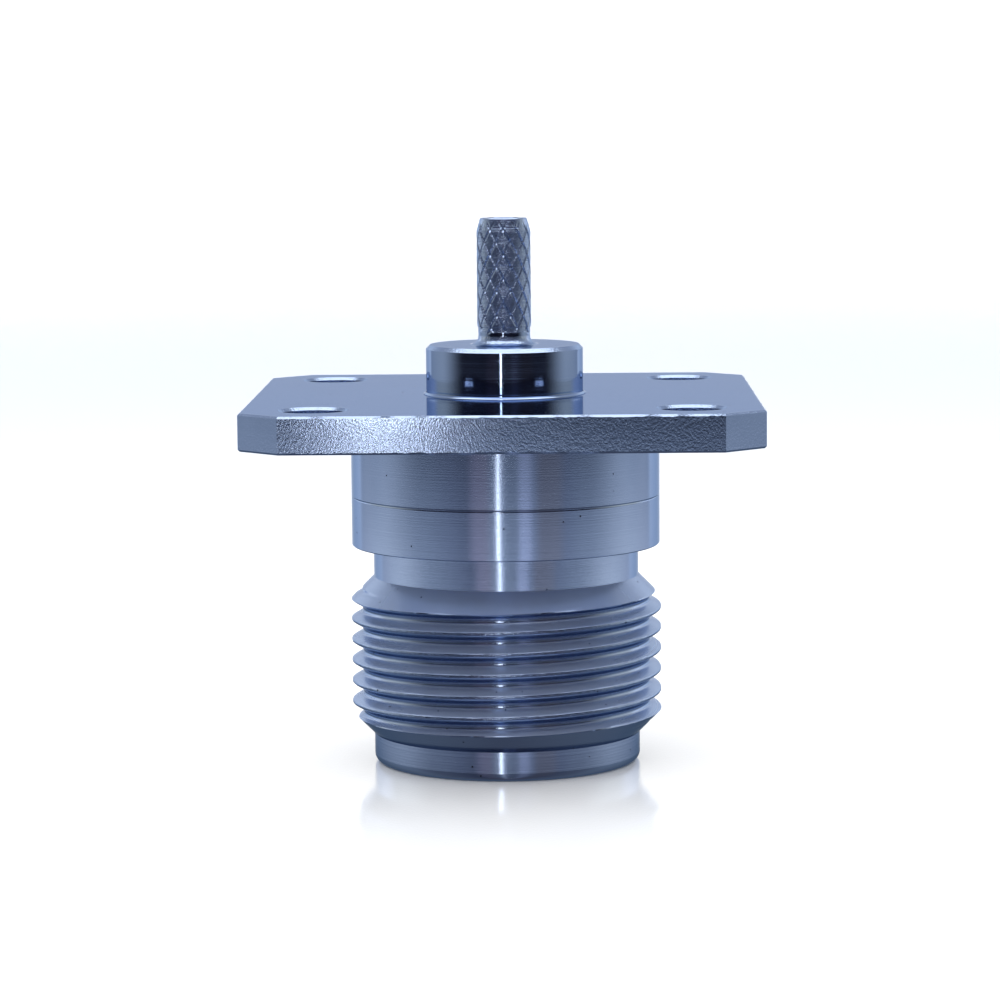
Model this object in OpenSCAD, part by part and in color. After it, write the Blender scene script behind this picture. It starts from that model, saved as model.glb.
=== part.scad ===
// Coaxial jack with a square four-hole flange, a threaded barrel and a knurled crimp stem.
// It stands on its mating face: z = 0 is the rim of the socket and +Z points along the stem, towards the cable.
// The shell is one turned and milled piece. A crimp bushing pressed into its back holds two insulators,
// and they hold the slotted centre contact.

/* [Flange] */
// Width across the flats of the square flange
flange_w = 25.4; // [23:0.1:30]
// Thickness of the flange
flange_t = 1.85; // [1.4:0.05:3]
// Leg of the 45 degree cut on each corner of the flange
corner_cut = 2.05; // [0.5:0.05:3]
// Distance between neighbouring screw holes
hole_pitch = 18.3; // [17:0.1:19.5]
// Diameter of the screw holes
hole_d = 3.2; // [2.2:0.1:3.6]
// Edge break on the rims of the screw holes
hole_break = 0.14; // [0.05:0.01:0.3]
// Edge break around the flange
flange_break = 0.1; // [0.05:0.01:0.3]

/* [Barrel] */
// Diameter of the plain barrel in front of the flange
barrel_d = 15.7; // [14.6:0.1:16.5]
// Length of the plain barrel
barrel_len = 5.8; // [3:0.1:9]
// Diameter of the relief between barrel and thread
neck_d = 13.5; // [12.6:0.1:14.2]
// Length of the relief
neck_len = 1.6; // [0.8:0.1:3]
// Diameter of the pilot in front of the thread
pilot_d = 13.6; // [12.8:0.1:14.2]
// Length of the pilot
pilot_len = 1.5; // [1:0.1:3]
// Edge break on the front rim of the pilot
pilot_break = 0.4; // [0.1:0.05:0.6]

/* [Thread] */
// Outside diameter of the right-hand thread
thread_d = 15.85; // [15.2:0.05:16.4]
// Distance between neighbouring crests
thread_pitch = 1.058; // [0.8:0.001:1.3]
// Length of the threaded stretch, with the 45 degree bevels at both its ends
thread_len = 8.05; // [6:0.05:10]
// Angle round the axis at which a crest leaves the front end of the thread
thread_start = 349; // [0:1:360]

/* [Socket] */
// Bore that takes the outer contact of the plug
socket_d = 8.1; // [7.6:0.05:8.6]
// Depth of the socket, from the rim to the reference plane
socket_depth = 9.1; // [7:0.1:11]
// Bevel at the mouth of the socket
socket_bevel = 0.4; // [0.1:0.05:0.7]
// Bore behind the reference plane, filled by the nose of the front insulator
throat_d = 7; // [6:0.1:7.4]
// Length of that bore
throat_len = 3.5; // [2.5:0.1:4.5]
// Bore in the back of the shell, for the insulators and the crimp bushing
seat_d = 8; // [7.6:0.05:8.6]
// Height of the lip round that bore, on the back of the flange
lip_h = 0.12; // [0.05:0.01:0.3]
// Width of that lip
lip_w = 0.12; // [0.05:0.01:0.3]

/* [Crimp bushing] */
// Height of the hub that stands on the flange
hub_h = 2.5; // [1.5:0.1:5]
// Edge break on the top of the hub
hub_break = 0.2; // [0.05:0.05:0.5]
// Length of the crimp stem above the hub
stem_len = 6.4; // [5:0.1:9]
// Diameter over the knurl
knurl_d = 2.72; // [2.4:0.02:3.2]
// Length of the plain neck below the knurl
stem_neck_len = 0.9; // [0.6:0.05:1.5]
// How much smaller than the knurl the neck is, in radius
stem_neck_step = 0.05; // [0.02:0.01:0.12]
// Radius of the fillet at the foot of the stem
stem_fillet = 0.45; // [0.2:0.05:0.5]
// Length of the tapered tip of the stem
tip_len = 0.65; // [0.3:0.05:1]
// How much the tip narrows, in radius
tip_taper = 0.19; // [0.05:0.01:0.25]
// Bore for the dielectric of the cable
cable_d = 1.6; // [1:0.05:1.8]
// Depth to which the bushing reaches into the shell
spigot_len = 3; // [2:0.1:3.4]
// Diameter of the hollow behind the contact tail
hollow_d = 3.7; // [2.6:0.1:5]
// Depth of that hollow
hollow_len = 1.8; // [1.6:0.1:2]

/* [Knurl] */
// Grooves round the stem, in each direction
knurl_grooves = 12; // [8:1:16]
// Angle between a groove and the axis
knurl_angle = 30; // [20:1:40]
// Depth of the grooves
knurl_depth = 0.1; // [0.05:0.01:0.15]
// Width of the grooves at the surface
knurl_width = 0.26; // [0.1:0.02:0.4]
// How far the grooves run down into the neck
knurl_run_out = 0.2; // [0.1:0.05:0.4]
// How far below the end of the tip the grooves stop
knurl_tip_gap = 0.22; // [0.1:0.02:0.4]

/* [Contact] */
// Diameter of the socket contact
contact_d = 3.04; // [2.6:0.02:3.4]
// How far the contact stands out in front of the reference plane
contact_reach = 5.26; // [4.5:0.01:5.6]
// Bore that takes the pin of the plug
pin_d = 1.64; // [1.3:0.01:2]
// Depth of that bore
pin_depth = 5.4; // [4:0.1:5.6]
// Bevel at the mouth of that bore
pin_lead = 0.12; // [0.05:0.01:0.2]
// Number of fingers that the slots part
fingers = 4; // [3:1:6]
// Width of the slots
slot_w = 0.3; // [0.15:0.01:0.5]
// Length of the slots
slot_len = 4.6; // [3:0.1:5]
// Bevel on the tip of the contact
contact_bevel = 0.25; // [0.1:0.05:0.35]
// Diameter of the contact where it runs through the insulators
waist_d = 2.1; // [1.7:0.05:2.4]
// Height of the barb that locks the contact in the front insulator
barb_h = 0.18; // [0.05:0.01:0.3]
// Diameter of the solder cup at the back of the contact
cup_d = 1.6; // [1.2:0.05:2]
// Hole in the cup for the cable's inner conductor
wire_d = 0.6; // [0.4:0.05:0.8]
// Length of the cup behind the rear insulator
cup_len = 1.4; // [1:0.1:1.5]

/* [Insulators] */
// Recess of the front insulator behind the reference plane
nose_recess = 0.2; // [0:0.05:0.5]
// Depth to which the contact sits in the nose of the front insulator
contact_seat = 0.5; // [0.2:0.05:1]
// Length of the front insulator's collar, behind the throat
collar_len = 1.44; // [1.2:0.02:1.8]
// Clearance between each turned piece and the bore that it sits in
fit_gap = 0.01; // [0.005:0.005:0.05]

/* [Hidden] */
$fn = 96;
eps = 0.01;                 // overlap of a cutter past the face that it opens
thread_clear = 0.06;        // how far the cutter of the thread stands out past the crests
thread_steps = 40;          // sections of that cutter in one turn
knurl_clear = 0.1;          // how far the cutters of the knurl stand out past the stem
knurl_steps = 16;           // sections of each of those cutters
foot_step = 15;             // angle between the points of a fillet

// Heights of the faces, from the mating rim up
thread_z = pilot_len;
neck_z = thread_z + thread_len;
barrel_z = neck_z + neck_len;
flange_z = barrel_z + barrel_len;
back_z = flange_z + flange_t;
hub_z = back_z + hub_h;
tip_z = hub_z + stem_len;
seat_z = socket_depth + throat_len;
spigot_z = back_z - spigot_len;
hollow_z = spigot_z + hollow_len;
split_z = seat_z + collar_len;

// A unified thread: 60 degree flanks, crests cut flat at an eighth of the pitch, roots at a quarter
thread_height = thread_pitch * cos(30);
crest_flat = thread_pitch / 8;
root_flat = thread_pitch / 4;
thread_depth = thread_height * 5 / 8;
flank = tan(30);

contact_z = socket_depth - contact_reach;
nose_z = socket_depth + nose_recess;
waist_z = nose_z + contact_seat;
barb_len = 2 * barb_h;
barb_z = split_z - 2 * barb_len;
cup_z = spigot_z + cup_len;

// A point of a profile (radius, height) turned round the axis and lifted
function turned(p, angle, lift) = [p[0] * cos(angle), p[0] * sin(angle), p[1] + lift];

// A solid through sections that all have the same number of points.
// Seen along the sweep, the points of a section run anticlockwise.
module sweep(sections) {
    m = len(sections[0]);
    n = len(sections);
    points = [for (s = sections) each s];
    sides = [for (i = [0 : n - 2], j = [0 : m - 1])
        let (k = (j + 1) % m)
        each [[i * m + j, i * m + k, (i + 1) * m + k], [i * m + j, (i + 1) * m + k, (i + 1) * m + j]]];
    first = [for (j = [m - 1 : -1 : 0]) j];
    last = [for (j = [0 : m - 1]) (n - 1) * m + j];
    polyhedron(points, concat([first], sides, [last]));
}

// A turned solid from a closed profile of (radius, height) points
module turn(profile) {
    rotate_extrude() polygon(profile);
}

// A drilled hole from z = from to z = to
module drill(d, from, to) {
    translate([0, 0, from]) cylinder(d = d, h = to - from);
}

// Points of a concave quarter-round foot, from the face that a stem of radius r stands on up to the stem
function foot(r, radius, z) = [for (a = [0 : foot_step : 90])
    [r + radius * (1 - sin(a)), z + radius * (1 - cos(a))]];

// Outline of the square flange with its cut corners
module flange_outline() {
    half = flange_w / 2;
    polygon([for (a = [0 : 90 : 270], side = [-1, 1])
        let (x = half, y = side * (half - corner_cut))
        [x * cos(a) - y * sin(a), x * sin(a) + y * cos(a)]]);
}

// Cutters that break the eight edges of one face of the flange. up is 1 for the back and -1 for the front
module edge_breaks(up) {
    side = flange_w / 2;
    corner = (flange_w - corner_cut) * cos(45);
    section = [[-flange_break, 0], [0, -flange_break * up], [flange_break, flange_break * up]];
    for (a = [0 : 45 : 315]) rotate(a)
        translate([a % 90 == 0 ? side : corner, 0, 0])
            rotate([90, 0, 0]) linear_extrude(flange_w, center = true) polygon(section);
}

module flange() {
    difference() {
        translate([0, 0, flange_z]) linear_extrude(flange_t) flange_outline();
        translate([0, 0, flange_z]) edge_breaks(-1);
        translate([0, 0, back_z]) edge_breaks(1);
    }
}

module screw_holes() {
    cone_d = hole_d + 2 * (hole_break + eps);
    cone_h = hole_break + eps;
    for (x = [-1, 1], y = [-1, 1]) translate([x * hole_pitch / 2, y * hole_pitch / 2, 0]) {
        drill(hole_d, flange_z - eps, back_z + eps);
        translate([0, 0, back_z - hole_break]) cylinder(d1 = hole_d, d2 = cone_d, h = cone_h);
        translate([0, 0, flange_z - eps]) cylinder(d1 = cone_d, d2 = hole_d, h = cone_h);
    }
}

// The turned outside of the shell: pilot, bevelled thread blank, relief, barrel and rear lip
module turned_blank() {
    bevel_front = (thread_d - pilot_d) / 2;
    bevel_back = (thread_d - neck_d) / 2;
    lip_r = seat_d / 2 + lip_w;
    turn([
        [0, 0],
        [pilot_d / 2 - pilot_break, 0],
        [pilot_d / 2, pilot_break],
        [pilot_d / 2, thread_z],
        [thread_d / 2, thread_z + bevel_front],
        [thread_d / 2, neck_z - bevel_back],
        [neck_d / 2, neck_z],
        [neck_d / 2, barrel_z],
        [barrel_d / 2, barrel_z],
        [barrel_d / 2, flange_z + flange_t / 2],
        [lip_r, flange_z + flange_t / 2],
        [lip_r, back_z],
        [lip_r - lip_w / 2, back_z + lip_h],
        [0, back_z + lip_h]
    ]);
}

// The helical groove between the crests, run out past both bevels
module thread_groove() {
    root_r = thread_d / 2 - thread_depth;
    mouth_r = thread_d / 2 + thread_clear;
    mouth = root_flat / 2 + (thread_depth + thread_clear) * flank;
    section = [[root_r, root_flat / 2], [root_r, -root_flat / 2], [mouth_r, -mouth], [mouth_r, mouth]];
    turns = ceil(thread_len / thread_pitch) + 1;
    sweep([for (i = [0 : turns * thread_steps])
        let (angle = thread_start + 360 * i / thread_steps,
             z = thread_z - thread_pitch / 2 + thread_pitch * i / thread_steps)
        [for (p = section) turned(p, angle, z)]]);
}

module socket_bores() {
    mouth_r = socket_d / 2 + socket_bevel + eps;
    drill(socket_d, -eps, socket_depth);
    translate([0, 0, -eps]) cylinder(r1 = mouth_r, r2 = socket_d / 2, h = socket_bevel + eps);
    drill(throat_d, socket_depth - eps, seat_z + eps);
    drill(seat_d, seat_z, back_z + lip_h + eps);
}

module shell() {
    color([0.62, 0.67, 0.76]) difference() {
        union() {
            turned_blank();
            flange();
        }
        thread_groove();
        socket_bores();
        screw_holes();
    }
}

// One groove of the knurl. hand is 1 for a right-hand helix and -1 for a left-hand one
module knurl_groove(start, hand) {
    low = hub_z + stem_neck_len - knurl_run_out;
    high = tip_z - knurl_tip_gap;
    floor_r = knurl_d / 2 - knurl_depth;
    mouth_r = knurl_d / 2 + knurl_clear;
    // half the width of the cutter at its mouth, along the circumference and then as an angle
    mouth = (knurl_width / 2) * (knurl_depth + knurl_clear) / knurl_depth / cos(knurl_angle);
    half = mouth / mouth_r * 180 / PI;
    sweep([for (i = [0 : knurl_steps])
        let (z = low + (high - low) * i / knurl_steps,
             angle = start + hand * (z - low) * tan(knurl_angle) / (knurl_d / 2) * 180 / PI)
        [turned([floor_r, 0], angle, z),
         turned([mouth_r, 0], angle + half, z),
         turned([mouth_r, 0], angle - half, z)]]);
}

module crimp_bushing() {
    neck_r = knurl_d / 2 - stem_neck_step;
    hub_r = seat_d / 2 - fit_gap;
    color([0.55, 0.60, 0.70]) difference() {
        turn(concat(
            [[0, spigot_z], [hub_r, spigot_z], [hub_r, hub_z - hub_break], [hub_r - hub_break, hub_z]],
            foot(neck_r, stem_fillet, hub_z),
            [[neck_r, hub_z + stem_neck_len],
             [knurl_d / 2, hub_z + stem_neck_len],
             [knurl_d / 2, tip_z - tip_len],
             [knurl_d / 2 - tip_taper, tip_z],
             [0, tip_z]]));
        for (k = [0 : knurl_grooves - 1], hand = [-1, 1]) knurl_groove(k * 360 / knurl_grooves, hand);
        drill(cable_d, hollow_z - eps, tip_z + eps);
        drill(hollow_d, spigot_z - eps, hollow_z);
    }
}

module front_insulator() {
    nose_r = throat_d / 2 - fit_gap;
    collar_r = seat_d / 2 - fit_gap;
    hole_r = waist_d / 2 + fit_gap;
    color([0.95, 0.95, 0.93]) difference() {
        turn([
            [0, nose_z],
            [nose_r, nose_z],
            [nose_r, seat_z],
            [collar_r, seat_z],
            [collar_r, split_z],
            [0, split_z]
        ]);
        drill(contact_d + 2 * fit_gap, nose_z - eps, waist_z);
        drill(2 * hole_r, waist_z - eps, split_z + eps);
        // recess that the barb of the contact springs into
        translate([0, 0, barb_z]) cylinder(r1 = hole_r + barb_h, r2 = hole_r, h = barb_len);
    }
}

module rear_insulator() {
    color([0.95, 0.95, 0.93]) difference() {
        drill(seat_d - 2 * fit_gap, split_z, spigot_z);
        drill(waist_d + 2 * fit_gap, split_z - eps, spigot_z + eps);
    }
}

module centre_contact() {
    contact_r = contact_d / 2;
    waist_r = waist_d / 2;
    pin_end = contact_z + pin_depth;
    color([0.85, 0.68, 0.32]) difference() {
        turn([
            [0, contact_z],
            [contact_r - contact_bevel, contact_z],
            [contact_r, contact_z + contact_bevel],
            [contact_r, waist_z],
            [waist_r, waist_z],
            [waist_r, barb_z],
            [waist_r + barb_h, barb_z],
            [waist_r, barb_z + barb_len],
            [waist_r, spigot_z],
            [cup_d / 2, spigot_z],
            [cup_d / 2, cup_z],
            [0, cup_z]
        ]);
        drill(pin_d, contact_z - eps, pin_end);
        translate([0, 0, contact_z - eps])
            cylinder(d1 = pin_d + 2 * pin_lead, d2 = pin_d, h = pin_lead);
        for (k = [0 : fingers - 1]) rotate((k + 0.5) * 360 / fingers)
            translate([0, -slot_w / 2, contact_z - eps]) cube([contact_d, slot_w, slot_len + eps]);
        drill(wire_d, spigot_z, cup_z + eps);
    }
}

shell();
crimp_bushing();
front_insulator();
rear_insulator();
centre_contact();
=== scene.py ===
import math

import bmesh
import bpy
from mathutils import Matrix, Vector, noise


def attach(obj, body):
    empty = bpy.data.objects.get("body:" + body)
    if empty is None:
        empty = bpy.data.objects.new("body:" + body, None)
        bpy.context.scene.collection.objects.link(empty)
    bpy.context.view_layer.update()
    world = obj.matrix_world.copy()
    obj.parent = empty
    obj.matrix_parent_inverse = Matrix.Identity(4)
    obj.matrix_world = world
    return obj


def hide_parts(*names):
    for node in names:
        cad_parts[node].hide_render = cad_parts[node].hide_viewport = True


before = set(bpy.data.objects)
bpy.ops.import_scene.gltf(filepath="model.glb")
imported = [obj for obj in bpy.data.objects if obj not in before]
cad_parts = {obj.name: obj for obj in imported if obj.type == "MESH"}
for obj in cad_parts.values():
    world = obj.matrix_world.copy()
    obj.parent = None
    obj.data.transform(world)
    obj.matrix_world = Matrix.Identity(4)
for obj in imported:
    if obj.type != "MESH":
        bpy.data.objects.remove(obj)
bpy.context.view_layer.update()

mm = 0.001
print("frame loaded:", sorted(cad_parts))


cameraSet = {
    "place": (2.6374, -182.6352, 34.165),      # mm, in the part's frame
    "right": (0.9998526, 0.0150580, -0.0082464),
    "up": (0.0064853, 0.1134702, 0.9935202),
    "forward": (-0.0158962, 0.9934273, -0.1133558),
    "lens": 129.688,
    "sensor": 36.0,
}


def makeCamera(s):
    data = bpy.data.cameras.new("camera")
    data.lens, data.sensor_width = s["lens"], s["sensor"]
    data.clip_start, data.clip_end = 0.01, 20.0
    data.dof.use_dof = False
    camera = bpy.data.objects.new("camera", data)
    bpy.context.scene.collection.objects.link(camera)
    right, up, forward = (Vector(s[k]).normalized() for k in ("right", "up", "forward"))
    turn = Matrix((right, up, -forward)).transposed().to_4x4()
    camera.matrix_world = Matrix.Translation(Vector(s["place"]) * mm) @ turn
    bpy.context.scene.camera = camera


makeCamera(cameraSet)
print("camera placed")


def deselectAll():
    if bpy.context.object and bpy.context.object.mode != "OBJECT":
        bpy.ops.object.mode_set(mode="OBJECT")
    bpy.ops.object.select_all(action="DESELECT")


def pick(piece):
    deselectAll()
    piece.select_set(True)
    bpy.context.view_layer.objects.active = piece


def clearSelection(piece, kind):
    # leaves nothing of the piece selected, in object mode, so that code can select elements
    pick(piece)
    bpy.ops.object.mode_set(mode="EDIT")
    bpy.ops.mesh.select_mode(type=kind)
    bpy.ops.mesh.select_all(action="DESELECT")
    bpy.ops.object.mode_set(mode="OBJECT")


def mergeDoubles(piece, gap=1e-7):
    pick(piece)
    bpy.ops.object.mode_set(mode="EDIT")
    bpy.ops.mesh.select_all(action="SELECT")
    bpy.ops.mesh.remove_doubles(threshold=gap)
    bpy.ops.object.mode_set(mode="OBJECT")


def facesOut(piece):
    pick(piece)
    bpy.ops.object.mode_set(mode="EDIT")
    bpy.ops.mesh.select_all(action="SELECT")
    bpy.ops.mesh.normals_make_consistent(inside=False)
    bpy.ops.object.mode_set(mode="OBJECT")


def drawProfile(name, points):
    # a chain of edges in the XZ plane, drawn by extruding one vertex from point to point
    deselectAll()
    x, z = points[0]
    bpy.ops.mesh.primitive_plane_add(size=mm, location=(0, 0, 0))
    piece = bpy.context.object
    piece.name = piece.data.name = name
    bpy.ops.object.mode_set(mode="EDIT")
    bpy.ops.mesh.select_mode(type="VERT")
    bpy.ops.mesh.select_all(action="SELECT")
    bpy.ops.mesh.merge(type="CENTER")
    bpy.ops.transform.translate(value=(x * mm, 0, z * mm))
    for (x0, z0), (x1, z1) in zip(points, points[1:]):
        step = ((x1 - x0) * mm, 0, (z1 - z0) * mm)
        bpy.ops.mesh.extrude_region_move(TRANSFORM_OT_translate={"value": step})
    bpy.ops.object.mode_set(mode="OBJECT")
    return piece


def lathe(name, points, steps):
    piece = drawProfile(name, held(points))
    pick(piece)
    bpy.ops.object.mode_set(mode="EDIT")
    bpy.ops.mesh.select_all(action="SELECT")
    bpy.ops.mesh.spin(steps=steps, angle=2 * math.pi, center=(0, 0, 0), axis=(0, 0, 1))
    bpy.ops.object.mode_set(mode="OBJECT")
    mergeDoubles(piece)
    return piece


def applyModifier(piece, kind, name, **settings):
    pick(piece)
    modifier = piece.modifiers.new(name, kind)
    for key, value in settings.items():
        setattr(modifier, key, value)
    bpy.ops.object.modifier_apply(modifier=name)


def joinPieces(main, *others):
    deselectAll()
    for other in others:
        other.select_set(True)
    main.select_set(True)
    bpy.context.view_layer.objects.active = main
    bpy.ops.object.join()
    return main


def smoothByAngle(piece, degrees):
    pick(piece)
    bpy.ops.object.shade_smooth_by_angle(angle=math.radians(degrees))


def roundCorner(points, index, radius, count=4):
    # a profile with one of its corners rounded
    before, corner, after = (Vector(points[i]) for i in (index - 1, index, index + 1))
    one, two = (before - corner).normalized(), (after - corner).normalized()
    half = math.acos(max(-1, min(1, one.dot(two)))) / 2
    reach = radius / math.tan(half)
    start, end = corner + one * reach, corner + two * reach
    centre = corner + (one + two).normalized() * radius / math.sin(half)
    arc = []
    for i in range(count + 1):
        t = i / count
        spoke = ((start - centre).lerp(end - centre, t)).normalized() * radius
        arc.append(tuple(centre + spoke))
    return points[:index] + arc + points[index + 1:]


def fine(a, b, steps):
    # points between two profile points, both ends left out
    shares = (i / steps for i in range(1, steps))
    return [(a[0] + (b[0] - a[0]) * t, a[1] + (b[1] - a[1]) * t) for t in shares]


def held(points, gap=0.045):
    # a profile whose long stretches get a point near each end, so that smooth shading stays true
    result = [points[0]]
    for a, b in zip(points, points[1:]):
        length = math.dist(a, b)
        if length > 5 * gap:
            for share in (gap / length, 1 - gap / length):
                result.append((a[0] + (b[0] - a[0]) * share, a[1] + (b[1] - a[1]) * share))
        result.append(b)
    return result


def smooth(low, high, x):
    t = max(0.0, min(1.0, (x - low) / (high - low)))
    return t * t * (3 - 2 * t)


def grain(x, y, z):
    return noise.noise(Vector((x, y, z)))


shellSet = {
    "steps": 288,
    "pilotR": 6.8, "pilotBreak": 0.4, "threadZ": 1.5,
    "threadR": 7.925, "pitch": 1.058, "neckZ": 9.55, "neckR": 6.75,
    "crestAtX": 0.474,                    # height of a crest over the +X axis, within one pitch
    "barrelZ": 11.15, "barrelR": 7.85, "flangeZ": 16.95, "backZ": 18.8,
    "lipR": 4.12, "lipH": 0.12, "seatR": 4.0, "seatZ": 12.6,
    "throatR": 3.5, "socketZ": 9.1, "socketR": 4.05, "socketBevel": 0.4,
    "side": 12.7, "cornerCut": 2.05, "edgeBreak": 0.1, "edgeParts": 150,
    "holeAt": 9.15, "holeR": 1.6, "holeBreak": 0.14, "holeSteps": 96,
    "crestRound": 0.06, "rootRound": 0.22, "lineZ": 13.65, "lineDepth": 0.012,
    # wear: band of the crest that it reaches, loss of height, dents, roughness and waviness
    "crestBand": 0.12, "crestLoss": 0.012, "dent": 0.03, "crestRough": 0.012, "crestWave": 0.012,
    # wear of the flange's edges: short and long waves, and how far it stays off the corners
    "edgeShort": 0.035, "edgeLong": 0.03, "cornerKeep": 0.16,
}


def threadProfile(s):
    # one pitch, from crest to crest, with rounded crest edges and root
    pitch = s["pitch"]
    depth = pitch * math.cos(math.radians(30)) * 5 / 8
    crest, root = s["threadR"], s["threadR"] - depth
    crestHalf, rootHalf = pitch / 16, pitch / 8
    points = [
        (crest, 0), (crest, crestHalf), (root, pitch / 2 - rootHalf),
        (root, pitch / 2 + rootHalf), (crest, pitch - crestHalf), (crest, pitch),
    ]
    for index, radius, count in ((4, s["crestRound"], 2), (3, s["rootRound"], 5),
                                 (2, s["rootRound"], 5), (1, s["crestRound"], 2)):
        points = roundCorner(points, index, radius, count)
    filled = []
    for a, b in zip(points, points[1:]):
        filled.append(a)
        if abs(a[0] - b[0]) > 0.3:
            filled += fine(a, b, 5)
    return filled + [points[-1]]


def threadEnvelope(s, z):
    # the turned blank that the thread is cut in, with a bevel at each end
    front = s["pilotR"] + (z - s["threadZ"])
    back = s["neckR"] + (s["neckZ"] - z)
    return min(s["threadR"], max(front, s["pilotR"]), max(back, s["neckR"]))


def makeThread(s):
    turns = math.ceil((s["neckZ"] - s["threadZ"]) / s["pitch"]) + 3
    piece = drawProfile("thread", threadProfile(s))
    startZ = s["crestAtX"] + s["pitch"] * (math.floor(s["threadZ"] / s["pitch"]) - 1)
    pick(piece)
    bpy.ops.transform.translate(value=(0, 0, startZ * mm))
    bpy.ops.object.transform_apply(location=True, rotation=True, scale=True)
    applyModifier(piece, "SCREW", "helix", axis="Z", angle=2 * math.pi,
                  screw_offset=s["pitch"] * mm, iterations=turns,
                  steps=s["steps"], render_steps=s["steps"], use_merge_vertices=False)
    for v in piece.data.vertices:
        x, y, z = (c / mm for c in v.co)
        r, angle = math.hypot(x, y), math.atan2(y, x)
        top = smooth(s["threadR"] - s["crestBand"], s["threadR"], r)
        # small dents and drags along the crest, and a slightly wavy flank
        dent = s["dent"] * max(0, grain(9 * angle, z * 2.1, 3.3) - 0.15)
        r -= top * (s["crestLoss"] + dent + s["crestRough"] * grain(60 * angle, z * 3, 8))
        z += s["crestWave"] * top * grain(22 * angle, z * 1.5, 1.7)
        z = max(s["threadZ"], min(s["neckZ"], z))
        r = min(r, threadEnvelope(s, z))
        v.co = (r * math.cos(angle) * mm, r * math.sin(angle) * mm, z * mm)
    mergeDoubles(piece, 2e-7)
    return piece


def makeTurned(s):
    lineZ = s["lineZ"]
    foot, head = (s["neckR"], s["neckZ"]), (s["neckR"], s["barrelZ"])
    outside = [
        foot, *fine(foot, head, 3),
        (s["neckR"], s["barrelZ"] - 0.06), (s["neckR"] + 0.06, s["barrelZ"]),
        (s["barrelR"] - 0.05, s["barrelZ"]), (s["barrelR"], s["barrelZ"] + 0.05),
        (s["barrelR"], lineZ - 0.04), (s["barrelR"] - s["lineDepth"], lineZ), (s["barrelR"], lineZ + 0.04),
        (s["barrelR"], s["flangeZ"] - 0.06), (s["barrelR"] + 0.02, s["flangeZ"]),
    ]
    inside = [
        (s["lipR"], s["backZ"]), (s["lipR"], s["backZ"] + 0.02),
        (s["seatR"] + 0.03, s["backZ"] + s["lipH"] - 0.01),
        (s["seatR"] + 0.01, s["backZ"] + s["lipH"]), (s["seatR"], s["backZ"] + s["lipH"] - 0.02),
        (s["seatR"], s["seatZ"]), (s["throatR"], s["seatZ"]), (s["throatR"], s["socketZ"]),
        (s["socketR"], s["socketZ"]), (s["socketR"], s["socketBevel"]),
        (s["socketR"] + s["socketBevel"], 0), (s["pilotR"] - s["pilotBreak"], 0),
    ]
    arc = [(s["pilotR"] - s["pilotBreak"] * (1 - math.sin(a)), s["pilotBreak"] * (1 - math.cos(a)))
           for a in (math.radians(d) for d in (15, 30, 45, 60, 75, 90))]
    inside += arc + [(s["pilotR"], s["threadZ"])]
    return joinPieces(lathe("turnedOut", outside, s["steps"]), lathe("turnedIn", inside, s["steps"]))


def makePlateSides(s):
    # the flange's wall: a cube cut down to an octagon ring, with its edges broken
    deselectAll()
    width, height = 2 * s["side"] * mm, s["backZ"] - s["flangeZ"]
    bpy.ops.mesh.primitive_cube_add(size=1, location=(0, 0, 0))
    plate = bpy.context.object
    plate.name = "plate"
    bpy.ops.transform.resize(value=(width, width, height * mm), center_override=(0, 0, 0))
    bpy.ops.transform.translate(value=(0, 0, (s["flangeZ"] + height / 2) * mm))
    bpy.ops.object.transform_apply(location=True, rotation=True, scale=True)
    clearSelection(plate, "EDGE")
    for e in plate.data.edges:
        a, b = (plate.data.vertices[i].co for i in e.vertices)
        e.select = abs(a.z - b.z) > mm
    bpy.ops.object.mode_set(mode="EDIT")
    bpy.ops.mesh.bevel(offset_type="OFFSET", offset=s["cornerCut"] * mm, segments=1)
    clearSelection(plate, "FACE")
    for f in plate.data.polygons:
        f.select = abs(f.normal.z) > 0.9
    bpy.ops.object.mode_set(mode="EDIT")
    bpy.ops.mesh.inset(thickness=s["edgeBreak"] * mm, depth=0)
    bpy.ops.mesh.delete(type="ONLY_FACE")
    bpy.ops.object.mode_set(mode="OBJECT")
    reach = s["edgeBreak"]
    for v in plate.data.vertices:
        z = v.co.z / mm
        onSide = max(abs(v.co.x), abs(v.co.y)) / mm > s["side"] - 1e-4
        onCut = (abs(v.co.x) + abs(v.co.y)) / mm > 2 * s["side"] - s["cornerCut"] - 1e-3
        if onSide or onCut:
            v.co.z += (reach if z < s["flangeZ"] + height / 2 else -reach) * mm
    return plate


def splitLongEdges(s, plate):
    # cuts each side of the ring into short lengths, so that its broken edge can be uneven
    clearSelection(plate, "EDGE")
    for e in plate.data.edges:
        a, b = (plate.data.vertices[i].co for i in e.vertices)
        e.select = (a - b).length > s["side"] * mm
    bpy.ops.object.mode_set(mode="EDIT")
    bpy.ops.mesh.subdivide(number_cuts=s["edgeParts"] - 1)
    bpy.ops.object.mode_set(mode="OBJECT")


def wearEdges(s, plate):
    middle = (s["flangeZ"] + s["backZ"]) / 2
    for v in plate.data.vertices:
        x, y, z = (c / mm for c in v.co)
        if (abs(x) + abs(y)) > 2 * s["side"] - s["cornerCut"] - s["cornerKeep"]:
            continue
        bite = s["edgeShort"] * grain(x * 5.1, y * 5.1, z) + s["edgeLong"] * grain(x * 1.3, y * 1.3, z + 9)
        if abs(z - s["backZ"]) < 1e-4 or abs(z - s["flangeZ"]) < 1e-4:
            if abs(x) > abs(y):
                x -= math.copysign(bite, x)
            else:
                y -= math.copysign(bite, y)
        else:
            z += -bite if z > middle else bite
        v.co = (x * mm, y * mm, z * mm)


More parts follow.
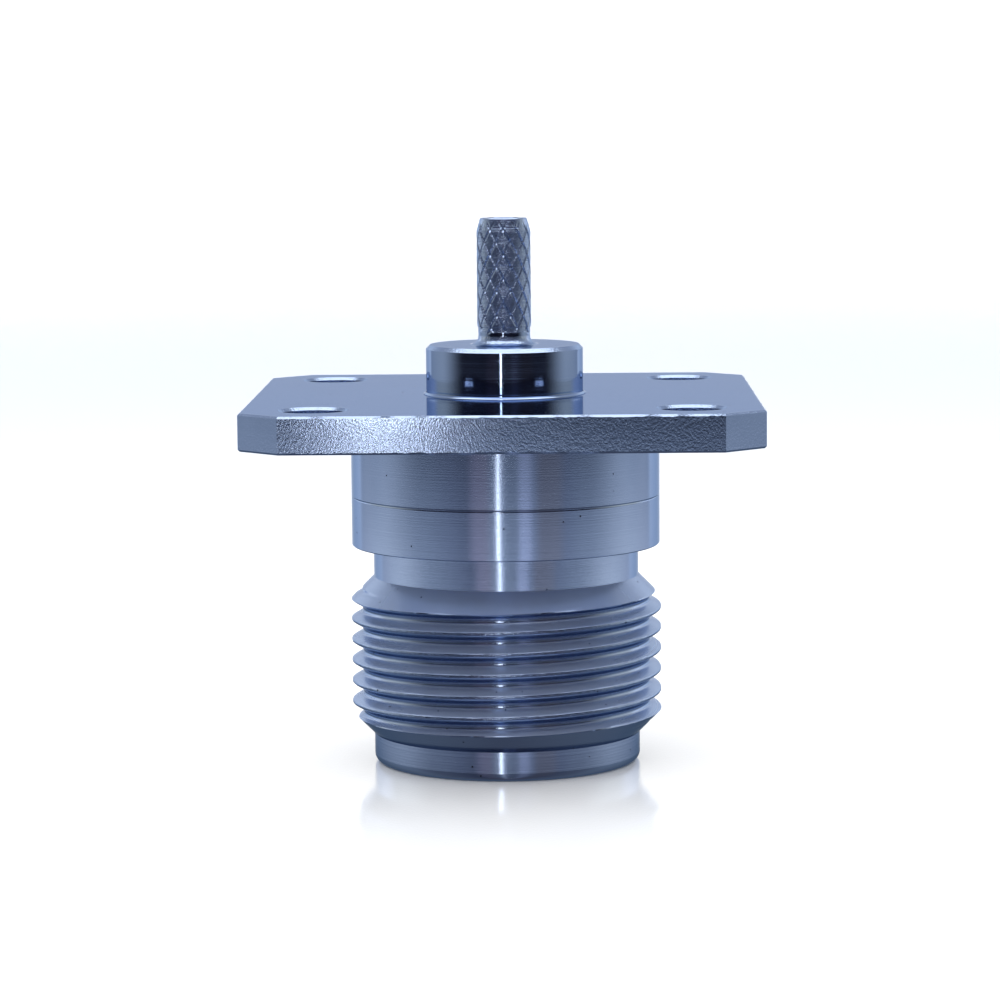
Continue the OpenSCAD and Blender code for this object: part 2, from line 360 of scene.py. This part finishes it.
def makeHoleWall(s, x, y):
    deselectAll()
    rings = [
        (s["holeR"] + s["holeBreak"], s["flangeZ"]), (s["holeR"], s["flangeZ"] + s["holeBreak"]),
        (s["holeR"], s["backZ"] - s["holeBreak"]), (s["holeR"] + s["holeBreak"], s["backZ"]),
    ]
    wall = lathe("holeWall", rings, s["holeSteps"])
    pick(wall)
    bpy.ops.transform.translate(value=(x * mm, y * mm, 0))
    bpy.ops.object.transform_apply(location=True, rotation=True, scale=True)
    return wall


def fillFace(piece, z):
    # closes the flat face at this height round all the loops that lie in it
    clearSelection(piece, "VERT")
    mesh = bmesh.new()
    mesh.from_mesh(piece.data)
    for e in mesh.edges:
        e.select = e.is_boundary and all(abs(v.co.z - z * mm) < 1e-7 for v in e.verts)
    for v in mesh.verts:
        v.select = any(e.select for e in v.link_edges)
    mesh.to_mesh(piece.data)
    mesh.free()
    bpy.ops.object.mode_set(mode="EDIT")
    bpy.ops.mesh.select_mode(type="EDGE")
    bpy.ops.mesh.fill(use_beauty=True)
    bpy.ops.object.mode_set(mode="OBJECT")


def makeShell(s):
    thread = makeThread(s)
    print("thread:", len(thread.data.vertices), "vertices")
    turned = makeTurned(s)
    plate = makePlateSides(s)
    splitLongEdges(s, plate)
    wearEdges(s, plate)
    holes = [makeHoleWall(s, x * s["holeAt"], y * s["holeAt"]) for x in (-1, 1) for y in (-1, 1)]
    shell = joinPieces(thread, turned, plate, *holes)
    shell.name = shell.data.name = "shellTurned"
    mergeDoubles(shell, 5e-7)
    fillFace(shell, s["flangeZ"])
    fillFace(shell, s["backZ"])
    facesOut(shell)
    smoothByAngle(shell, 28)
    return shell


shell = makeShell(shellSet)
print("shell:", len(shell.data.polygons), "faces")


stemSet = {
    "steps": 384,
    "spigotZ": 15.8, "hubR": 3.99, "hubTopZ": 21.3, "hubBreak": 0.2,
    "fillet": 0.45, "knurlR": 1.36, "neckStep": 0.05, "knurlZ": 22.2, "tipZ": 27.7,
    "tipLength": 0.65, "tipTaper": 0.19, "boreR": 0.8, "hollowR": 1.85, "hollowZ": 17.6,
    "starts": 12, "lead": 30, "depth": 0.085, "halfWidth": 0.085, "rowStep": 0.022,
    "lip": 0.009, "rough": 0.005,
    # strength of the grooves, by hand of the helix
    "hands": [(-1, 1.0), (1, 0.6)],
}


def makeBushing(s):
    neckR = s["knurlR"] - s["neckStep"]
    profile = [
        (s["hollowR"], s["spigotZ"]), (s["hubR"] - 0.1, s["spigotZ"]), (s["hubR"], s["spigotZ"] + 0.1),
        (s["hubR"], 18.9), (s["hubR"] - 0.012, 18.96), (s["hubR"], 19.02),
        (s["hubR"], s["hubTopZ"] - s["hubBreak"]), (s["hubR"] - s["hubBreak"], s["hubTopZ"]),
    ]
    for d in range(0, 91, 9):
        out, up = (s["fillet"] * (1 - f(math.radians(d))) for f in (math.sin, math.cos))
        profile.append((neckR + out, s["hubTopZ"] + up))
    rows = [(neckR, s["hubTopZ"] + s["fillet"]), (neckR, s["knurlZ"]), (s["knurlR"], s["knurlZ"] + 0.02),
            (s["knurlR"], s["tipZ"] - s["tipLength"]), (s["knurlR"] - s["tipTaper"] + 0.02, s["tipZ"] - 0.04),
            (s["knurlR"] - s["tipTaper"] - 0.02, s["tipZ"])]
    for a, b in zip(rows, rows[1:]):
        count = max(1, round(abs(b[1] - a[1]) / s["rowStep"]))
        profile += fine(a, b, count) + [b]
    profile += [(s["boreR"] + 0.03, s["tipZ"]), (s["boreR"], s["tipZ"] - 0.03),
                (s["boreR"], s["hollowZ"]), (s["hollowR"], s["hollowZ"]), (s["hollowR"], s["spigotZ"])]
    bushing = lathe("stemKnurled", profile, s["steps"])
    cutKnurl(s, bushing)
    facesOut(bushing)
    smoothByAngle(bushing, 32)
    return bushing


def groove(distance, half, depth, lip):
    # section of one rolled groove: a V with a raised lip on both sides
    d = abs(distance)
    if d < half:
        return -depth * (1 - d / half) + lip * smooth(0.6 * half, half, d)
    return lip * (1 - smooth(half, half * 1.5, d))


def cutKnurl(s, bushing):
    # turn of a groove per mm of height, in radians
    slope = math.tan(math.radians(s["lead"])) / s["knurlR"]
    gap = 2 * math.pi / s["starts"]
    for v in bushing.data.vertices:
        x, y, z = (c / mm for c in v.co)
        r, angle = math.hypot(x, y), math.atan2(y, x)
        if r < s["boreR"] + 0.2 or z < s["hubTopZ"] + s["fillet"] or z > s["tipZ"] - 0.05:
            continue
        lift = 0
        for hand, strength in s["hands"]:
            turn = (angle - hand * slope * (z - s["knurlZ"])) / gap
            index = round(turn)
            offset = (turn - index) * gap * s["knurlR"] * math.cos(math.radians(s["lead"]))
            key = index % s["starts"] + (40 if hand > 0 else 0)
            runOut = 0.12 + 0.25 * (0.5 + 0.5 * math.sin(key * 2.4))
            fade = smooth(s["knurlZ"] - runOut, s["knurlZ"] - runOut + 0.15, z)
            fade *= 1 - smooth(s["tipZ"] - s["tipLength"] * 0.9, s["tipZ"] - 0.12, z)
            wave = 0.75 + 0.5 * grain(key * 3.1, z * 1.4, 2 + hand)
            lift += fade * strength * groove(offset, s["halfWidth"], s["depth"] * wave, s["lip"])
        rough = s["rough"] * grain(angle * 14, z * 11, 5) * smooth(s["knurlZ"] - 0.1, s["knurlZ"] + 0.2, z)
        r += max(lift, -s["depth"] * 1.15) + rough
        v.co = (r * math.cos(angle) * mm, r * math.sin(angle) * mm, z * mm)


bushing = makeBushing(stemSet)
print("bushing:", len(bushing.data.polygons), "faces")


floorSet = {
    "size": 60000, "albedo": (0.8, 0.795, 0.785), "roughness": 0.06, "ior": 1.5,
    "grit": 0.006, "gritScale": 10.0, "gritStretch": (1.0, 0.3, 1.0),
}


def makeFloor(s):
    deselectAll()
    bpy.ops.mesh.primitive_plane_add(size=s["size"] * mm, location=(0, 0, 0))
    floor = bpy.context.object
    floor.name = "floor"
    return floor


floor = makeFloor(floorSet)


class Value:
    # a socket that takes part in sums
    def __init__(self, board, socket):
        self.board, self.socket = board, socket

    def sum(self, operation, *others):
        return self.board.add("ShaderNodeMath", {"operation": operation}, [self, *others])

    def __add__(self, other):
        return self.sum("ADD", other)

    def __radd__(self, other):
        return self.sum("ADD", other)

    def __sub__(self, other):
        return self.sum("SUBTRACT", other)

    def __mul__(self, other):
        return self.sum("MULTIPLY", other)

    def __truediv__(self, other):
        return self.sum("DIVIDE", other)

    def __lt__(self, other):
        return self.sum("LESS_THAN", other)


class Board:
    # one node tree, with one method that adds any node
    def __init__(self, tree):
        self.tree = tree
        tree.nodes.clear()

    def add(self, kind, settings=None, values=None, output=0):
        node = self.tree.nodes.new(kind)
        for key, value in (settings or {}).items():
            if key == "stops":
                self.setStops(node.color_ramp, value)
            else:
                setattr(node, key, value)
        pairs = values.items() if isinstance(values, dict) else enumerate(values or [])
        for key, value in pairs:
            self.feed(node.inputs[key], value)
        return Value(self, node.outputs[output]) if node.outputs else node

    def feed(self, socket, value):
        if isinstance(value, Value):
            self.tree.links.new(value.socket, socket)
        elif isinstance(value, (tuple, list)) and len(value) == 3 and socket.type == "RGBA":
            socket.default_value = (*value, 1)
        else:
            socket.default_value = value

    def setStops(self, ramp, stops):
        while len(ramp.elements) > 1:
            ramp.elements.remove(ramp.elements[-1])
        for i, (at, tone) in enumerate(stops):
            element = ramp.elements[0] if i == 0 else ramp.elements.new(at)
            element.position = at
            element.color = (tone, tone, tone, 1) if isinstance(tone, (int, float)) else (*tone, 1)

    def place(self):
        # place on the piece, in millimetres
        spot = self.add("ShaderNodeTexCoord", output="Object")
        return self.add("ShaderNodeVectorMath", {"operation": "SCALE"}, {0: spot, "Scale": 1 / mm})

    def parts(self, vector):
        x = self.add("ShaderNodeSeparateXYZ", None, [vector])
        node = x.socket.node
        return [Value(self, node.outputs[i]) for i in range(3)]

    def noise(self, vector, scale, detail, roughness):
        values = {"Vector": vector, "Scale": scale, "Detail": detail, "Roughness": roughness}
        return self.add("ShaderNodeTexNoise", {"noise_dimensions": "3D"}, values)

    def lines(self, value, scale, detail, roughness):
        values = {"W": value, "Scale": scale, "Detail": detail, "Roughness": roughness}
        return self.add("ShaderNodeTexNoise", {"noise_dimensions": "1D"}, values)

    def step(self, value, low, high):
        # 0 at low, 1 at high, eased between
        values = {"Value": value, "From Min": low, "From Max": high}
        return self.add("ShaderNodeMapRange", {"interpolation_type": "SMOOTHSTEP"}, values)

    def ramp(self, value, stops):
        return self.add("ShaderNodeValToRGB", {"stops": stops}, [value])

    def stretch(self, vector, factors):
        return self.add("ShaderNodeVectorMath", {"operation": "MULTIPLY"}, [vector, factors])

    def bump(self, height):
        # height in millimetres
        return self.add("ShaderNodeBump", None, {"Strength": 1.0, "Distance": mm, "Height": height})

    def mixColour(self, share, first, second, blend="MIX"):
        settings = {"data_type": "RGBA", "blend_type": blend}
        return self.add("ShaderNodeMix", settings, {0: share, 6: first, 7: second}, output=2)


def newMaterial(name):
    material = bpy.data.materials.new(name)
    material.use_nodes = True
    return material, Board(material.node_tree)


def finishMaterial(board, values):
    shader = board.add("ShaderNodeBsdfPrincipled", None, values)
    board.add("ShaderNodeOutputMaterial", None, {"Surface": shader})


steelSet = {
    "colour": (0.47, 0.56, 0.76), "dark": (0.4, 0.485, 0.67), "speck": (0.02, 0.022, 0.03),
    "edgeTint": (0.42, 0.5, 0.62),
}


def specks(board, spot, scale, size, share):
    # sparse dark pits
    values = {"Vector": spot, "Scale": scale}
    cells = board.add("ShaderNodeTexVoronoi", {"feature": "F1"}, values, output="Distance")
    tone = board.add("ShaderNodeTexVoronoi", {"feature": "F1"}, values, output="Color")
    return (cells < size) * (board.parts(tone)[0] < share)


def plated(name, look):
    # nickel plate over a machined face: rings of the tool, fine grain, pits and a slow change of tone
    material, board = newMaterial(name)
    s = steelSet
    spot = board.place()
    x, y, z = board.parts(spot)
    radius = board.add("ShaderNodeMath", {"operation": "SQRT"}, [x * x + y * y])
    rings = board.lines(z + radius, look["ringScale"], 3.0, 0.65)
    grains = board.noise(board.stretch(spot, look["stretch"]), look["grainScale"], 2.0, 0.6)
    broad = board.noise(spot, 0.35, 2.0, 0.5)
    pits = specks(board, spot, look["pitScale"], 0.11, look["pits"])
    colour = board.mixColour(broad, s["dark"], s["colour"])
    colour = board.mixColour(pits, colour, s["speck"])
    height = rings * look["ringHeight"] + grains * look["grainHeight"] - pits * 0.002
    bump = board.bump(height)
    finishMaterial(board, {
        "Base Color": colour, "Metallic": look.get("metallic", 1.0), "Specular Tint": s["edgeTint"],
        "Roughness": look["roughness"] + rings * 0.05 + pits * 0.3, "Normal": bump,
    })
    return material


# how each kind of face was worked: rings and grains with their height in mm, pits by share
lookSet = {
    "turned": {"ringScale": 9.0, "ringHeight": 0.0005, "grainScale": 17.0, "grainHeight": 0.0007,
               "stretch": (1.0, 1.0, 1.0), "roughness": 0.09, "pitScale": 2.4, "pits": 0.07},
    "brushed": {"ringScale": 13.0, "ringHeight": 0.0011, "grainScale": 12.0, "grainHeight": 0.0006,
                "stretch": (0.35, 0.35, 1.6), "roughness": 0.1, "pitScale": 2.4, "pits": 0.03},
    "ground": {"ringScale": 4.0, "ringHeight": 0.0, "grainScale": 3.0, "grainHeight": 0.0003,
               "stretch": (1.0, 1.0, 1.0), "roughness": 0.06, "pitScale": 1.9, "pits": 0.12},
    "milled": {"ringScale": 6.0, "ringHeight": 0.0, "grainScale": 12.0, "grainHeight": 0.0022,
               "stretch": (1.0, 1.0, 0.7), "roughness": 0.06, "pitScale": 2.4, "pits": 0.02},
    "flank": {"ringScale": 9.0, "ringHeight": 0.001, "grainScale": 8.0, "grainHeight": 0.001,
              "stretch": (1.0, 1.0, 1.0), "roughness": 0.24, "pitScale": 2.4, "pits": 0.09,
              "metallic": 0.72},
    "crest": {"ringScale": 9.0, "ringHeight": 0.0, "grainScale": 8.0, "grainHeight": 0.02,
              "stretch": (1.0, 1.0, 1.0), "roughness": 0.1, "pitScale": 2.0, "pits": 0.2},
    "fillet": {"ringScale": 9.0, "ringHeight": 0.004, "grainScale": 5.0, "grainHeight": 0.03,
               "stretch": (1.0, 1.0, 1.0), "roughness": 0.22, "pitScale": 3.0, "pits": 0.1},
    "edge": {"ringScale": 6.0, "ringHeight": 0.0, "grainScale": 9.0, "grainHeight": 0.016,
             "stretch": (1.0, 1.0, 1.0), "roughness": 0.12, "pitScale": 2.4, "pits": 0.02},
    "under": {"ringScale": 4.0, "ringHeight": 0.002, "grainScale": 3.0, "grainHeight": 0.001,
              "stretch": (1.0, 1.0, 1.0), "roughness": 0.3, "pitScale": 1.9, "pits": 0.05,
              "metallic": 0.5},
    "hub": {"ringScale": 11.0, "ringHeight": 0.0005, "grainScale": 15.0, "grainHeight": 0.0004,
            "stretch": (1.0, 1.0, 1.0), "roughness": 0.04, "pitScale": 3.0, "pits": 0.06},
    "knurl": {"ringScale": 14.0, "ringHeight": 0.02, "grainScale": 14.0, "grainHeight": 0.006,
              "stretch": (1.0, 1.0, 1.0), "roughness": 0.1, "pitScale": 5.0, "pits": 0.5},
}


def paintShell(piece, s):
    # turned all over, brushed on the relief, ground on the back of the flange, milled on its sides,
    # rough on broken edges and in the holes, dull under the flange and on the thread's flanks
    names = ("turned", "brushed", "ground", "milled", "edge", "under", "flank", "crest")
    for name in names:
        piece.data.materials.append(plated(name + "Plate", lookSet[name]))
    low, high = s["flangeZ"] - 1e-3, s["backZ"] + 1e-3
    for f in piece.data.polygons:
        centre = f.center / mm
        out = math.hypot(centre.x, centre.y)
        far = max(abs(centre.x), abs(centre.y))
        onPlate = low < centre.z < high and out > s["barrelR"] + 0.5
        inThread = s["threadZ"] < centre.z < s["neckZ"]
        onCut = abs(centre.x) + abs(centre.y) > 2 * s["side"] - s["cornerCut"] - 0.2
        onSide = far > s["side"] - 0.12 or onCut
        name = "turned"
        if s["neckZ"] < centre.z < s["barrelZ"] - 0.02 and abs(out - s["neckR"]) < 0.05:
            name = "brushed"
        elif onPlate and f.normal.z < -0.99:
            name = "under"
        elif onPlate and abs(f.normal.z) > 0.3 and f.normal.z < 0.99:
            name = "edge"
        elif onPlate and onSide and abs(f.normal.z) < 0.3:
            name = "milled"
        elif onPlate and not onSide and abs(f.normal.z) < 0.3:
            name = "edge"
        elif inThread and out > s["neckR"] - 0.05 and f.normal.z > 0.3:
            name = "flank"
        elif inThread and out > s["threadR"] - 0.07:
            name = "crest"
        elif centre.z > s["backZ"] - 0.01 and out > s["lipR"]:
            name = "ground"
        f.material_index = names.index(name)


def paintBushing(piece, s):
    # fine turned hub with a rough chamfer and fillet, and a stem with the marks of the knurl
    names = ("hub", "knurl", "edge", "fillet")
    for name in names:
        piece.data.materials.append(plated(name + "Bush", lookSet[name]))
    for f in piece.data.polygons:
        centre = f.center / mm
        out = math.hypot(centre.x, centre.y)
        rise = centre.z - s["hubTopZ"]
        outside = out > s["boreR"] + 0.1
        name = "hub"
        if centre.z > s["knurlZ"] - 0.25 and outside:
            name = "knurl"
        elif out > s["hubR"] - s["hubBreak"] and rise > -s["hubBreak"] and f.normal.z > 0.3:
            name = "edge"
        elif 0.01 < rise < s["fillet"] and outside:
            name = "fillet"
        f.material_index = names.index(name)


def plainMaterial(name, values):
    material, board = newMaterial(name)
    spot = board.place()
    cloud = board.noise(spot, 2.0, 3.0, 0.6)
    tone = board.mixColour(cloud, values["dark"], values["light"])
    grains = board.noise(spot, values["grain"], 2.0, 0.6)
    bump = board.bump(grains * values["height"])
    finishMaterial(board, {
        "Base Color": tone, "Metallic": values["metallic"], "Normal": bump,
        "Roughness": values["roughness"] + cloud * 0.08,
    })
    return material


plainSet = {
    "insulatorWhite": {"dark": (0.8, 0.8, 0.78), "light": (0.87, 0.87, 0.86), "metallic": 0.0,
                       "roughness": 0.38, "grain": 6.0, "height": 0.001},
    "contactGold": {"dark": (0.84, 0.6, 0.26), "light": (0.95, 0.72, 0.36), "metallic": 1.0,
                    "roughness": 0.16, "grain": 12.0, "height": 0.0004},
}

paintShell(shell, shellSet)
paintBushing(bushing, stemSet)
white, gold = (plainMaterial(name, plainSet[name]) for name in ("insulatorWhite", "contactGold"))
for node, material in (("front_insulator", white), ("rear_insulator", white), ("centre_contact", gold)):
    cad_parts[node].data.materials.clear()
    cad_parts[node].data.materials.append(material)


def paleTable(s):
    material, board = newMaterial("paleTable")
    grit = board.noise(board.stretch(board.place(), s["gritStretch"]), s["gritScale"], 2.0, 0.6)
    finishMaterial(board, {
        "Base Color": s["albedo"], "Roughness": s["roughness"], "IOR": s["ior"],
        "Normal": board.bump(grit * s["grit"]),
    })
    return material


floor.data.materials.append(paleTable(floorSet))


lightSet = {
    "stripWidth": 4.2, "stripPlace": (-13.1, -164), "stripAzimuth": -3.0,
    "softbox": 1.6, "rim": (0.85, 0.9, 0.98), "cool": (0.95, 0.98, 1.0),
    # where one zone of the studio gives way to the next, in degrees of height or azimuth
    "haloHead": (14.0, 4.0), "haloFoot": (-5.05, -5.2),
    "sideBlend": (60.0, 105.0), "backBlend": (110.0, 130.0),
    "rimSide": (133.0, 139.0), "rimHead": (-1.5, -3.5), "rimFoot": (-9.0, -8.2),
    "softboxHeight": (44.0, 54.0), "softboxSide": (132.0, 120.0), "crownHeight": (76.0, 82.0),
    # the strip light in two lengths: foot and head in mm, strength
    "strips": [("stripLow", -47, 0.8, 4.6), ("stripHigh", 5.4, 43, 7.5)],
    # glow round the strip: width in degrees, brightness
    "halos": [(1.0, (0.3, 0.31, 0.34)), (3.5, (0.04, 0.045, 0.055))],
    # soft lamps: height and azimuth in degrees, width in degrees, strength
    "lamps": [("topLamp", 90, 0, 90, 2.9), ("frontLamp", 40, -25, 60, 0.5),
              ("leftLamp", 30, -100, 60, 0.5), ("rightLamp", 30, 100, 60, 0.5)],
    # brightness of the studio by height in degrees, in front, at the sides and behind
    "front": [(-90, (.07, .08, .11)), (-14, (.1, .115, .15)), (-10.5, (.12, .14, .185)),
              (-10.3, (.28, .31, .37)), (-8.7, (.36, .4, .46)), (-8.5, (.56, .63, .73)),
              (-7.5, (.56, .63, .73)), (-7.3, (.28, .32, .39)), (-6.5, (.25, .29, .36)),
              (-5.9, (.13, .16, .21)), (-5.15, (.11, .135, .18)), (-5.05, (.008, .008, .014)),
              (-2.5, (.008, .01, .018)), (0, (.012, .014, .025)), (6, (.02, .022, .035)),
              (10, (.1, .11, .14)), (45, (.16, .18, .24)), (90, (.3, .32, .38))],
    "sides": [(-90, (.07, .08, .11)), (-14, (.2, .24, .29)), (-10.5, (.27, .31, .36)),
              (-10.3, (.48, .51, .56)), (-8.7, (.68, .72, .8)), (-8.5, (.92, .97, 1)),
              (-7.5, (.92, .97, 1)), (-7.3, (.6, .65, .72)), (-6.5, (.5, .54, .6)),
              (-5.9, (.33, .38, .46)), (-5.15, (.31, .36, .44)), (-4.8, (.38, .44, .51)),
              (0, (.5, .52, .5)), (8, (.8, .8, .7)), (20, (.4, .43, .45)), (90, (.3, .32, .38))],
    "back": [(-90, (.07, .08, .11)), (-14, (.2, .24, .28)), (-10.5, (.25, .29, .34)),
             (-10.3, (.5, .53, .58)), (-7.7, (.8, .82, .88)), (-6.7, (.58, .6, .64)),
             (-4.5, (.34, .4, .48)), (-2.5, (.6, .62, .66)), (-1, (1.4, 1.4, 1.4)),
             (2.2, (1.4, 1.4, 1.4)), (3.3, (.49, .57, .75)), (4.25, (.49, .57, .75)),
             (4.4, (.59, .68, .87)), (6.5, (.59, .68, .87)), (8, (1.3, 1.3, 1.3)),
             (16, (1.3, 1.3, 1.3)), (30, (.5, .54, .62)), (60, (.3, .34, .4)), (76, (.3, .34, .4)),
             (90, (.3, .32, .38))],
    # faint upright bands in front, by azimuth
    "bands": [(-180, (1, 1, 1)), (-60, (1, 1, 1)), (-40, (.75, .75, .8)), (-28, (.6, .6, .65)),
              (-22, (1.1, .92, .95)), (-14, (1.15, .95, .95)), (-9, (1, 1, 1)), (9, (1, 1, 1)),
              (12, (1.8, 1.7, 1.75)), (18, (1.7, 1.6, 1.65)), (21, (1.05, 1.05, 1.1)),
              (27, (.85, .75, .72)), (40, (.9, .8, .77)), (46, (.8, .8, .85)), (60, (1, 1, 1)),
              (180, (1, 1, 1))],
}


def makeWorld(s):
    world = bpy.data.worlds.new("studio")
    world.use_nodes = True
    bpy.context.scene.world = world
    board = Board(world.node_tree)
    direction = board.add("ShaderNodeTexCoord", output="Generated")
    x, y, z = board.parts(direction)
    azimuth = board.add("ShaderNodeMath", {"operation": "ARCTAN2"}, [x, y * -1.0]) * (180 / math.pi)
    side = board.add("ShaderNodeMath", {"operation": "ABSOLUTE"}, [azimuth])
    height = board.add("ShaderNodeMath", {"operation": "ARCSINE"}, [z]) * (180 / math.pi)
    rise = height / 180 + 0.5
    front, sides, back = (
        board.ramp(rise, [((h + 90) / 180, tone) for h, tone in s[k]]) for k in ("front", "sides", "back"))
    # halved here and doubled after, which keeps each stop of this ramp under 1
    halved = [((a + 180) / 360, [c / 2 for c in tone]) for a, tone in s["bands"]]
    bands = board.ramp(azimuth / 360 + 0.5, halved)
    front = board.mixColour(1.0, front, bands, "MULTIPLY")
    front = board.mixColour(1.0, front, (2, 2, 2), "MULTIPLY")
    for width, glow in s["halos"]:
        away = (azimuth - s["stripAzimuth"]) / width
        halo = board.add("ShaderNodeMath", {"operation": "POWER"}, [math.e, away * away * -0.5])
        halo = halo * board.step(height, *s["haloHead"]) * board.step(height, *s["haloFoot"])
        front = board.mixColour(halo, front, glow, "ADD")
    tone = board.mixColour(board.step(side, *s["sideBlend"]), front, sides)
    tone = board.mixColour(board.step(side, *s["backBlend"]), tone, back)
    rim = board.step(side, *s["rimSide"]) * board.step(height, *s["rimHead"])
    tone = board.mixColour(rim * board.step(height, *s["rimFoot"]), tone, s["rim"])
    softbox = board.step(height, *s["softboxHeight"]) * board.step(side, *s["softboxSide"])
    crown = board.step(height, *s["crownHeight"])
    glow = board.add("ShaderNodeMath", {"operation": "MAXIMUM"}, [softbox, crown]) * s["softbox"]
    base = board.add("ShaderNodeBackground", None, {"Color": tone, "Strength": 1.0})
    bright = board.add("ShaderNodeBackground", None, {"Color": s["cool"], "Strength": glow})
    both = board.add("ShaderNodeAddShader", None, [base, bright])
    board.add("ShaderNodeOutputWorld", None, {"Surface": both})


def makeLamp(name, height, azimuth, width, strength):
    # a wide soft lamp, kept out of the metal
    data = bpy.data.lights.new(name, "SUN")
    data.angle, data.energy = math.radians(width), strength
    lamp = bpy.data.objects.new(name, data)
    lamp.rotation_euler = (math.radians(90 - height), 0, math.radians(azimuth))
    lamp.visible_glossy = False
    bpy.context.scene.collection.objects.link(lamp)


def makeStrip(name, low, high, strength, width, place):
    # a narrow upright light beside the lens, seen only in the metal
    deselectAll()
    bpy.ops.mesh.primitive_plane_add(size=1, location=(0, 0, 0))
    strip = bpy.context.object
    strip.name = name
    bpy.ops.transform.resize(value=(width * mm, (high - low) * mm, 1), center_override=(0, 0, 0))
    x, y = place
    bpy.ops.transform.rotate(value=math.radians(90), orient_axis="X", center_override=(0, 0, 0))
    bpy.ops.transform.translate(value=(x * mm, y * mm, (low + high) / 2 * mm))
    bpy.ops.object.transform_apply(location=True, rotation=True, scale=True)
    material, board = newMaterial(name + "Glow")
    glow = board.add("ShaderNodeEmission", None, {"Color": (1, 1, 1), "Strength": strength})
    board.add("ShaderNodeOutputMaterial", None, {"Surface": glow})
    material.cycles.emission_sampling = "NONE"
    strip.data.materials.append(material)
    strip.visible_camera = strip.visible_diffuse = strip.visible_shadow = False
    return strip


strips = [makeStrip(*strip, lightSet["stripWidth"], lightSet["stripPlace"]) for strip in lightSet["strips"]]
makeWorld(lightSet)
for lamp in lightSet["lamps"]:
    makeLamp(*lamp)
floor.visible_glossy = False

view = bpy.context.scene.view_settings
view.view_transform = "Standard"
view.look = "None"
print("light and materials done")

for piece, node in ((shell, "shell"), (bushing, "crimp_bushing")):
    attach(piece, "root")
    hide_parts(node)
